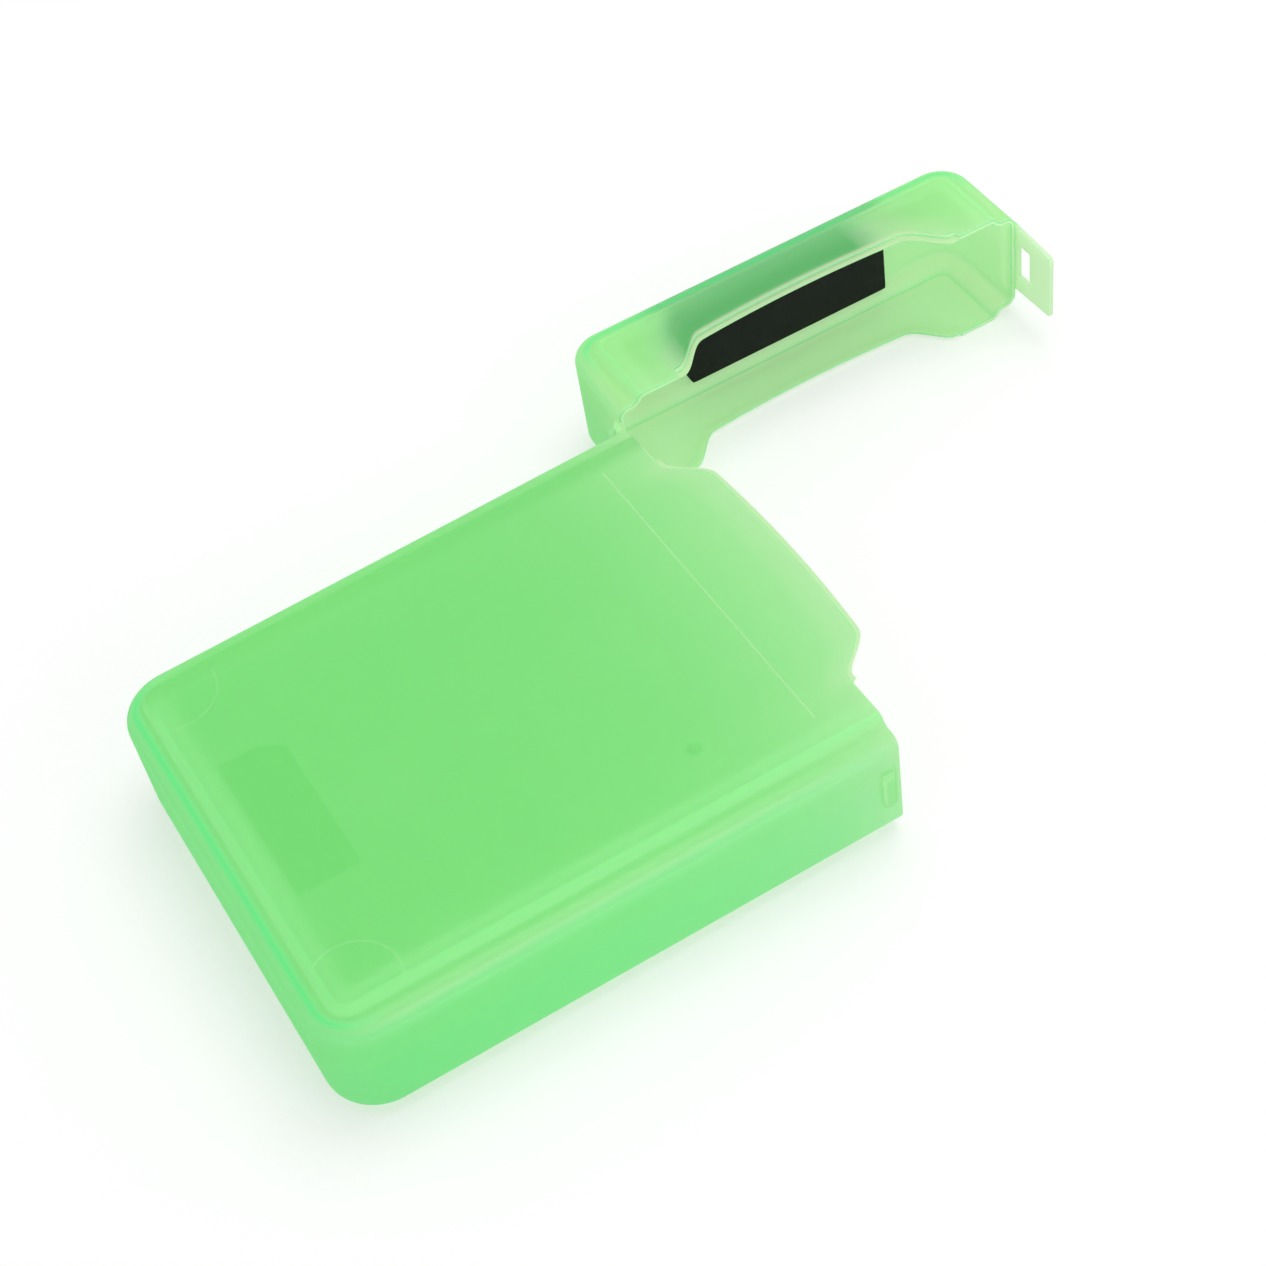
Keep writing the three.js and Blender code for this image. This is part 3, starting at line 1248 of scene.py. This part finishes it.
    def skin(self, draft: Draft, inner: bool) -> tuple[np.ndarray, np.ndarray]:
        """Add one face of the wall.

        Args:
            draft: The mesh to add to.
            inner: Whether this is the inside.

        Returns:
            Point numbers along the mouth, and where the seam is beside each of them.
        """
        form = self.form
        half = form.section(form.wall if inner else 0.0)
        levels = np.concatenate([half[:0:-1] * (1, -1), half])
        insets, heights = levels[:, 0], form.middle + levels[:, 1]
        rings = np.stack([self.ring(inset) for inset in insets])
        sides = lift(rings, heights[:, None])
        numbers = draft.put(form.narrow(sides), self.step_marks(sides, insets[:, None], inner))
        draft.weave(numbers)
        seam, plan = self.panel(rings[-1], inner)
        marks = self.panel_marks(seam, plan, inner)
        rims = []
        for level in (-1, 0):
            panel = lift(plan, heights[level])
            marks[Mark.SHADE] = self.pad_shade(panel)
            flat = draft.put(form.narrow(panel), marks)
            first, last = numbers[level, : self.rows], numbers[level, : -self.rows - 1 : -1]
            far = numbers[level, self.rows : -self.rows]
            grid = np.concatenate([first[None], flat, last[None]])
            draft.weave(np.concatenate([grid, far[:, None]], 1))
            rims.append((flat[:, 0], lift(seam, heights[level])))
        (upper, upper_seam), (lower, lower_seam) = rims
        straight = np.full(len(levels), form.mouth_x)
        left = lift(np.stack([straight, form.half_width - insets], -1), heights)
        right = left * (1, -1, 1)
        at = len(half) - 1
        order = (numbers[at:, 0], upper, numbers[::-1, -1], lower[::-1], numbers[:at, 0])
        places = (left[at:], upper_seam, right[::-1], lower_seam[::-1], left[:at])
        return np.concatenate(order), np.concatenate(places)

    def rim(
        self,
        draft: Draft,
        outer: tuple[np.ndarray, np.ndarray],
        inner: tuple[np.ndarray, np.ndarray],
    ) -> None:
        """Close the mouth with the rounded rim, which carries the lap joint along the bulge.

        Args:
            draft: The mesh to add to.
            outer: What skin gave for the outside.
            inner: What skin gave for the inside.
        """
        form = self.form
        first, across = outer[1], inner[1] - outer[1]
        out = lift(form.seam_out(first[:, 1], self.facing), 0.0)
        reach, inner_reach = self.edges(first[:, 1])
        small = np.minimum(self.lip_round, np.abs(inner_reach - reach) / self.lip_limit)
        small = -np.sign(self.lap_reach) * small
        depth, big = self.lip_round / form.wall, self.round_ / form.wall
        # Painted paleness on the rim, and the painted side tint and shade outline on its rounded
        # edges.
        pale = {Mark.RIM: 1.0}
        edged = {Mark.RIM: 1.0, Mark.SIDE: 1.0, Mark.FOLD: self.outline}
        turns = [(self.round_ * (1 - math.sin(a)), 1 - math.cos(a)) for a in self.round_angles]
        lips = [(share**2, depth * (1 - share) + self.lip_slit) for share in self.lip_rows]
        rows = [(reach - back, big * deep, edged) for back, deep in turns]
        rows += [(reach + small * along, self.split - deep, pale) for along, deep in lips]
        for along, deep in reversed(lips):
            rows.append((inner_reach - small * along, self.split + deep, pale))
        rows += [(inner_reach - back, 1 - big * deep, edged) for back, deep in reversed(turns)]
        rings = [outer[0]]
        for along, through, marks in rows:
            points = first + across * through + out * along[:, None]
            rings.append(draft.put(form.narrow(points), marks))
        draft.weave_round([*rings, inner[0]])

    def build(self) -> Draft:
        """Make the whole shell.

        Returns:
            The shell's mesh, closed and without its fittings.
        """
        draft = Draft()
        outer, inner = (self.skin(draft, inner) for inner in (False, True))
        self.rim(draft, outer, inner)
        return draft


@dataclass
class DriveBox:
    """The box with its hinge leaf and the catch of the latch."""

    form: CaseForm
    rows: int = 48

    def build(self, finish: FrostedPlastic) -> bpy.types.Object:
        """Make the box.

        Args:
            finish: Its plastic.

        Returns:
            The piece.
        """
        form = self.form
        shell = MouldedShell(
            form,
            closed_x=-form.mouth_x,
            corner=form.body_corner,
            facing=1,
            edge=0.0,
            lap_reach=form.lap_reach,
            split=form.lap / form.wall,
            rows=self.rows,
        )
        place = Matrix.Identity(4)
        piece = shell.build().make("box_shell", place, finish.make())
        weld(piece, {"box_leaf": self.leaf(), "box_catch": self.catch()}, place)
        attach(piece, Body.CASE.value)
        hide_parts("case_body")
        return piece

    def leaf(self) -> bmesh.types.BMesh:
        """Make the hinge leaf behind the rim.

        Returns:
            The leaf.
        """
        form = self.form
        face = form.pivot[0] - form.seam_gap / 2
        edge = face - form.leaf
        outline = [
            (face, form.in_wall),
            (face, form.leaf_end),
            (edge, form.leaf_end),
            (edge - form.leaf_end + form.in_wall, form.in_wall),
        ]
        return form.fitting(outline, form.hinge_half)

    def catch(self) -> bmesh.types.BMesh:
        """Make the catch: a ramp with a square back.

        Returns:
            The catch.
        """
        form = self.form
        back, front = form.window_x[0] + form.fit_gap, form.window_x[1] - form.fit_gap
        outline = [
            (front, -form.in_wall),
            (back, -form.in_wall),
            (back, form.latch_outer),
            (front - form.catch_ramp, form.latch_outer),
        ]
        return form.fitting(outline, form.window_height / 2 - form.fit_gap)


@dataclass
class EndCap:
    """The cap with its hinge leaf and the root of the latch tongue."""

    form: CaseForm
    rows: int = 22

    def build(self, finish: FrostedPlastic) -> bpy.types.Object:
        """Make the cap.

        Args:
            finish: Its plastic.

        Returns:
            The piece.
        """
        form = self.form
        shell = MouldedShell(
            form,
            closed_x=form.mouth_x + form.cap_depth,
            corner=form.cap_corner,
            facing=-1,
            edge=-form.seam_gap,
            lap_reach=-form.lap_reach,
            split=1 - form.lap / form.wall,
            rows=self.rows,
            # The cap's painted light, highlights and shade lines, and the painted shade of the
            # pad.
            fade=10.0,
            pale=0.40,
            inside=0.33,
            hinge_bands=1.0,
            groove=1.0,
            outline=0.7,
            shade=0.91,
        )
        piece = shell.build().make("cap_shell", form.open_place, finish.make())
        weld(piece, {"cap_leaf": self.leaf(), "cap_root": self.root()}, form.open_place)
        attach(piece, Body.CAP.value)
        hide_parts("end_cap")
        return piece

    def leaf(self) -> bmesh.types.BMesh:
        """Make the hinge leaf that reaches back over the rim of the box.

        Returns:
            The leaf.
        """
        form = self.form
        face = form.pivot[0] + form.seam_gap / 2
        clear = form.half_width + form.fit_gap
        outline = [
            (form.cap_rim_x, form.in_wall),
            (form.cap_rim_x + form.leaf + form.leaf_end - form.in_wall, form.in_wall),
            (face + form.leaf, form.leaf_end),
            (face, form.leaf_end),
            (face, clear),
            (form.cap_rim_x, clear),
        ]
        return form.fitting(outline, form.hinge_half)

    def root(self) -> bmesh.types.BMesh:
        """Make the rib that the tongue springs from.

        Returns:
            The rib.
        """
        form = self.form
        back = form.root_x + form.root_length
        outline = [
            (form.root_x, -form.in_wall),
            (form.root_x, form.latch_outer),
            (back - form.root_ramp, form.latch_outer),
            (back, -form.in_wall),
        ]
        return form.fitting(outline, form.tongue_half)


@dataclass
class LatchTongue:
    """The springy tongue with a window, which bends out of the cap's wall."""

    form: CaseForm
    sunk: float = 0.35
    bend: float = 3.0
    edge_round: float = 0.25
    corner_round: float = 0.35
    least_round: float = 0.02
    cut_margin: float = 0.002
    corner_steps: int = 6
    edge_steps: int = 4
    bend_cuts: int = 7

    def build(self, finish: FrostedPlastic) -> bpy.types.Object:
        """Make the tongue.

        Args:
            finish: Its plastic.

        Returns:
            The piece.
        """
        form = self.form
        draft = Draft()
        # The whole tongue gets the painted paleness of light through its single wall.
        draft.merge(self.plate(), {Mark.RIM: 1.0})
        piece = draft.make("spring_tongue", form.open_place, finish.make())
        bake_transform(piece)
        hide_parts("latch_tongue")
        return piece

    def loop(self, ends: Pair, halves: Pair, rounds: Pair, inset: float) -> np.ndarray:
        """Go once round a four-sided outline with rounded corners.

        Args:
            ends: Where it starts and stops along the tongue.
            halves: Half of its height there.
            rounds: Radius of the corners there.
            inset: How far inside the outline to go.

        Returns:
            Rows of place along the tongue and height above its middle.
        """
        points = []
        for turn, (end, side) in enumerate(((0, -1), (1, -1), (1, 1), (0, 1))):
            radius = max(rounds[end] - inset, self.least_round)
            x = ends[end] + (1 - 2 * end) * (inset + radius)
            z = side * (halves[end] - inset - radius)
            for angle in np.linspace(turn + 2, turn + 3, self.corner_steps) * QUARTER:
                points.append((x + radius * math.cos(angle), z + radius * math.sin(angle)))
        return np.array(points)

    def plate(self) -> bmesh.types.BMesh:
        """Make the plate as a closed ring of faces round its window.

        Returns:
            The plate with rounded edges, cut across where it bends.
        """
        form = self.form
        ends = (form.mouth_x - form.tongue_reach, form.root_x + self.sunk)
        halves = (form.tongue_half - form.tongue_taper, form.tongue_half)
        rounds = (form.tongue_round, self.corner_round)
        window = (form.window_x, (form.window_height / 2,) * 2, (self.corner_round,) * 2)
        edge = [(self.edge_round * 2, 0.0)]
        for angle in np.linspace(0, QUARTER, self.edge_steps):
            inset, depth = 1 - math.sin(angle), 1 - math.cos(angle)
            edge.append((self.edge_round * inset, self.edge_round * depth))
        edge += [(inset, form.tongue - depth) for inset, depth in reversed(edge)]
        rings = [(self.loop(ends, halves, rounds, inset), depth) for inset, depth in edge]
        rings += [(self.loop(*window, -inset), depth) for inset, depth in reversed(edge)]
        made = bmesh.new()
        rows = [
            [made.verts.new((x, form.latch_inner - depth, form.middle + z)) for x, z in ring]
            for ring, depth in rings
        ]
        for row, after in zip(rows, rows[1:] + rows[:1]):
            for i in range(len(row)):
                made.faces.new((row[i - 1], row[i], after[i], after[i - 1]))
        for x in np.linspace(form.root_x - self.bend, form.root_x, self.bend_cuts):
            bmesh.ops.bisect_plane(
                made,
                geom=[*made.verts, *made.edges, *made.faces],
                dist=self.cut_margin,
                plane_co=(x, 0, 0),
                plane_no=(1, 0, 0),
            )
        return made


@dataclass
class FoldedHinge:
    """The thin web that the cap folds on, swept along its bend by Geometry Nodes."""

    form: CaseForm
    sunk: float = 0.12
    bend_steps: int = 14
    sweep_step: float = 0.2

    def path(self) -> np.ndarray:
        """Middle line of the web in plan.

        Returns:
            Points from the box's leaf round the hinge axis to the cap's leaf.
        """
        form = self.form
        radius = form.web_radius - form.web / 2
        leg = form.pivot[1] - form.leaf_end + self.sunk
        opened = math.radians(form.open_angle)
        angles = np.linspace(math.pi, opened, self.bend_steps)
        bend = np.stack([radius * np.cos(angles), radius * np.sin(angles)], -1)
        ahead = np.array([math.sin(opened), -math.cos(opened)])
        line = np.concatenate([[[-radius, -leg]], bend, [bend[-1] + leg * ahead]])
        return line + np.array(form.pivot)

    def build(self, finish: FrostedPlastic) -> bpy.types.Object:
        """Make the web.

        Args:
            finish: Its plastic.

        Returns:
            The piece.
        """
        form = self.form
        sweep = PathSweep(2 * form.hinge_half * MM, form.web * MM, self.sweep_step * MM)
        points = lift(self.path(), form.middle) * MM
        piece = sweep.build("folded_hinge", points, finish.make())
        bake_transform(piece)
        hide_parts("hinge_web")
        return piece


@dataclass
class PathSweep:
    """A Geometry Nodes tree that sweeps a flat strip along a drawn path, in metres."""

    width: float
    thickness: float
    step: float

    def sizes(self) -> dict[str, float]:
        """Name the tree's inputs."""
        return {"Width": self.width, "Thickness": self.thickness, "Step": self.step}

    def tree(self, material: bpy.types.Material) -> tuple[bpy.types.NodeTree, dict[str, str]]:
        """Build the tree.

        Args:
            material: Finish of the strip.

        Returns:
            The tree, and the identifiers of its named inputs.
        """
        tree = bpy.data.node_groups.new("strip_along_path", "GeometryNodeTree")
        new_socket, new = tree.interface.new_socket, tree.nodes.new
        new_socket("Geometry", in_out="INPUT", socket_type="NodeSocketGeometry")
        sockets = {
            name: new_socket(name, in_out="INPUT", socket_type="NodeSocketFloat").identifier
            for name in self.sizes()
        }
        new_socket("Geometry", in_out="OUTPUT", socket_type="NodeSocketGeometry")
        start, end = new("NodeGroupInput"), new("NodeGroupOutput")
        path = new("GeometryNodeMeshToCurve")
        even = new("GeometryNodeResampleCurve")
        even.mode = "LENGTH"
        upright = new("GeometryNodeSetCurveNormal")
        upright.mode = "Z_UP"
        strip = new("GeometryNodeCurvePrimitiveQuadrilateral")
        sweep = new("GeometryNodeCurveToMesh")
        sweep.inputs["Fill Caps"].default_value = True
        real = new("GeometryNodeRealizeInstances")
        dress = new("GeometryNodeSetMaterial")
        dress.inputs["Material"].default_value = material
        for node, output, after, socket in (
            (start, "Geometry", path, "Mesh"),
            (path, "Curve", even, "Curve"),
            (start, "Step", even, "Length"),
            (even, "Curve", upright, "Curve"),
            (start, "Thickness", strip, "Width"),
            (start, "Width", strip, "Height"),
            (upright, "Curve", sweep, "Curve"),
            (strip, "Curve", sweep, "Profile Curve"),
            (sweep, "Mesh", real, "Geometry"),
            (real, "Geometry", dress, "Geometry"),
            (dress, "Geometry", end, "Geometry"),
        ):
            tree.links.new(node.outputs[output], after.inputs[socket])
        return tree, sockets

    def build(
        self, name: str, path: np.ndarray, material: bpy.types.Material
    ) -> bpy.types.Object:
        """Sweep the strip.

        Args:
            name: The piece's name.
            path: Points of the path.
            material: Finish of the strip.

        Returns:
            A plain mesh piece.
        """
        drawn = bpy.data.meshes.new(name + "_path")
        drawn.from_pydata(path.tolist(), [(i, i + 1) for i in range(len(path) - 1)], [])
        carrier = bpy.data.objects.new(name + "_path", drawn)
        bpy.context.scene.collection.objects.link(carrier)
        modifier = carrier.modifiers.new("sweep", "NODES")
        modifier.node_group, sockets = self.tree(material)
        for size, value in self.sizes().items():
            modifier[sockets[size]] = value
        mesh = plain_mesh(carrier, name)
        bpy.data.objects.remove(carrier)
        return link_piece(name, mesh, material)


@dataclass
class CushionPad:
    """The foam pad on the cap's end wall, and the film that holds it."""

    form: CaseForm
    length: float = 66.0
    thickness: float = 4.2
    slant: float = 7.0
    edge: float = 0.55
    edge_steps: int = 4
    crown: float = 0.35
    crown_powers: tuple[int, int] = (6, 4)
    film: float = 0.25
    film_gap: float = 0.15
    columns: int = 64
    rows: int = 26

    def build(self, foam: ClosedCellFoam, film: AdhesiveFilm) -> bpy.types.Object:
        """Make the pad and dress the film.

        Args:
            foam: The pad's finish.
            film: The film's finish.

        Returns:
            The pad.
        """
        piece = self.block().make("foam_pad", self.form.open_place, foam.make())
        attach(piece, Body.CAP.value)
        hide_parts("cushion_pad")
        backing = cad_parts["pad_film"]
        backing.data.materials.clear()
        backing.data.materials.append(film.make())
        return piece

    @staticmethod
    def border(grid: np.ndarray) -> np.ndarray:
        """Go once round the border of a grid."""
        return np.concatenate([grid[:-1, 0], grid[-1, :-1], grid[:0:-1, -1], grid[0, :0:-1]])

    def block(self) -> Draft:
        """Shape the pad, with a crowned face, one slanted end and rounded edges.

        Returns:
            The pad's mesh.
        """
        form = self.form
        back = form.mouth_x + form.cap_depth - form.wall - 2 * self.film_gap - self.film
        half = self.length / 2 - self.edge
        tall = form.side_height / 2 - form.wall - form.fit_gap - self.edge
        u, v = np.meshgrid(
            np.linspace(-1, 1, self.columns), np.linspace(-1, 1, self.rows), indexing="ij"
        )
        across = -half + (2 * half - self.slant * (1 - v) / 2) * (u + 1) / 2
        height = form.middle + tall * v
        end_power, side_power = self.crown_powers
        swell = (1 - np.abs(u) ** end_power) * (1 - np.abs(v) ** side_power)
        front = back - self.thickness + self.crown * (1 - swell)
        face = np.stack([front, across, height], -1)
        rear = np.stack([np.full_like(across, back), across, height], -1)
        draft = Draft()
        front_numbers, rear_numbers = draft.put(face), draft.put(rear)
        draft.weave(front_numbers)
        draft.weave(rear_numbers)
        out = self.border(np.stack([np.trunc(u), np.trunc(v)], -1))
        out = out / np.linalg.norm(out, axis=1, keepdims=True)
        angles = np.linspace(0, QUARTER, self.edge_steps + 1)[1:]
        rings = [self.border(front_numbers)]
        for grid, turns, side in ((face, angles, 1), (rear, angles[::-1], -1)):
            for angle in turns:
                ring = self.border(grid)
                ring[:, 0] += side * self.edge * (1 - math.cos(angle))
                ring[:, 1:] += out * self.edge * math.sin(angle)
                rings.append(draft.put(ring))
        draft.weave_round([*rings, self.border(rear_numbers)])
        return draft


# The studio


@dataclass
class Studio:
    """Pale floor, soft light and the camera; lengths of the studio are in metres."""

    camera_at: Triple = (-0.097131, -0.321978, 0.440566)
    azimuth: float = -22.590
    elevation: float = 49.473
    roll: float = -10.775
    lens: float = 69.5567
    sensor: float = 36.0
    clip: Pair = (0.01, 20.0)
    floor_size: float = 6.0
    floor_drop: float = 0.0001
    floor_colour: Triple = (0.95, 0.95, 0.95)
    floor_white: Pair = (0.44, 0.86)
    world_light: float = 0.72
    lamps: tuple[tuple[str, Triple, float, float], ...] = (
        ("key_softbox", (0.40, 0.12, 1.30), 0.9, 7.0),
        ("fill_softbox", (0.35, -1.25, 0.60), 0.9, 2.6),
    )
    lamp_aim: Triple = (0.05, 0.01, 0.0)

    def build(self) -> None:
        """Set up the whole studio."""
        bpy.context.scene.view_settings.view_transform = "Standard"
        self.set_camera()
        self.lay_floor()
        self.light_world()
        for name, place, size, power in self.lamps:
            self.hang_lamp(name, Vector(place), size, power)

    def set_camera(self) -> None:
        """Put the camera where the photograph was taken."""
        az, el, roll = (math.radians(a) for a in (self.azimuth, self.elevation, self.roll))
        back = Vector((math.sin(az) * math.cos(el), -math.cos(az) * math.cos(el), math.sin(el)))
        right = Vector((math.cos(az), math.sin(az), 0.0))
        up = back.cross(right)
        turned_right = math.cos(roll) * right + math.sin(roll) * up
        turned_up = math.cos(roll) * up - math.sin(roll) * right
        data = bpy.data.cameras.new("camera")
        data.sensor_width = self.sensor
        data.lens = self.lens
        data.clip_start, data.clip_end = self.clip
        camera = bpy.data.objects.new("camera", data)
        place = Matrix((turned_right, turned_up, back)).transposed().to_4x4()
        place.translation = self.camera_at
        camera.matrix_world = place
        bpy.context.scene.collection.objects.link(camera)
        bpy.context.scene.camera = camera

    @staticmethod
    def seen(kit: ShaderKit, direct: float, through: float) -> Wire:
        """Tell how much a ray shows of the white backdrop.

        Args:
            kit: The nodes.
            direct: Share for rays from the camera.
            through: Share for rays that were reflected or came through the plastic.

        Returns:
            The share, 0 for all other rays.
        """
        shares = {"Camera": direct, "Glossy": through, "Transmission": through}
        camera, glossy, passed = (
            kit.add("ShaderNodeLightPath", out=f"Is {ray} Ray") * share
            for ray, share in shares.items()
        )
        return camera.most(glossy).most(passed)

    def lay_floor(self) -> None:
        """Make the pale floor, which is white to the camera and keeps the object's shadow."""
        half = self.floor_size / 2
        mesh = bpy.data.meshes.new("floor")
        corners = [(-half, -half), (half, -half), (half, half), (-half, half)]
        mesh.from_pydata([(x, y, -self.floor_drop) for x, y in corners], [], [(0, 1, 2, 3)])
        floor = bpy.data.objects.new("floor", mesh)
        bpy.context.scene.collection.objects.link(floor)
        kit = ShaderKit(bpy.data.materials.new("pale_floor"))
        matt = kit.add("ShaderNodeBsdfDiffuse", inputs={"Color": kit.opaque(self.floor_colour)})
        white = kit.add("ShaderNodeEmission", inputs={"Color": WHITE, "Strength": 1.0})
        seen = self.seen(kit, *self.floor_white)
        mesh.materials.append(kit.finish(kit.shader_mix(seen, matt, white)))

    def light_world(self) -> None:
        """Light the scene evenly, with white behind it."""
        kit = ShaderKit(bpy.data.worlds.new("studio"))
        strength = self.world_light + self.seen(kit, 1.0, 1.0) * (1 - self.world_light)
        light = kit.add("ShaderNodeBackground", inputs={"Color": WHITE, "Strength": strength})
        bpy.context.scene.world = kit.finish(light, "ShaderNodeOutputWorld")

    def hang_lamp(self, name: str, place: Vector, size: float, power: float) -> None:
        """Hang one softbox that looks at the object.

        Args:
            name: The lamp's name.
            place: Where it hangs.
            size: Its width.
            power: Its power in watts.
        """
        data = bpy.data.lights.new(name, "AREA")
        data.size = size
        data.energy = power
        lamp = bpy.data.objects.new(name, data)
        lamp.location = place
        lamp.rotation_euler = (Vector(self.lamp_aim) - place).to_track_quat("-Z", "Y").to_euler()
        bpy.context.scene.collection.objects.link(lamp)


def main() -> None:
    """Build the studio and every piece."""
    logging.basicConfig(level=logging.INFO, format="%(name)s: %(message)s")
    form = CaseForm()
    Studio().build()
    box = FrostedPlastic("frosted_green_box", marks=PanelMarks())
    glow = (0.765, 0.978, 0.70)
    cap = FrostedPlastic("frosted_green_cap", glow=glow)
    # The tongue's pale colour is its painted light.
    tongue = FrostedPlastic("frosted_green_tongue", pale=(0.90, 0.94, 0.84), glow=glow)
    pieces = [
        DriveBox(form).build(box),
        EndCap(form).build(cap),
        LatchTongue(form).build(tongue),
        FoldedHinge(form).build(FrostedPlastic("frosted_green_hinge")),
        CushionPad(form).build(ClosedCellFoam(), AdhesiveFilm()),
    ]
    for piece in pieces:
        LOG.info("%s: %d faces", piece.name, len(piece.data.polygons))


if __name__ == "__main__":
    main()
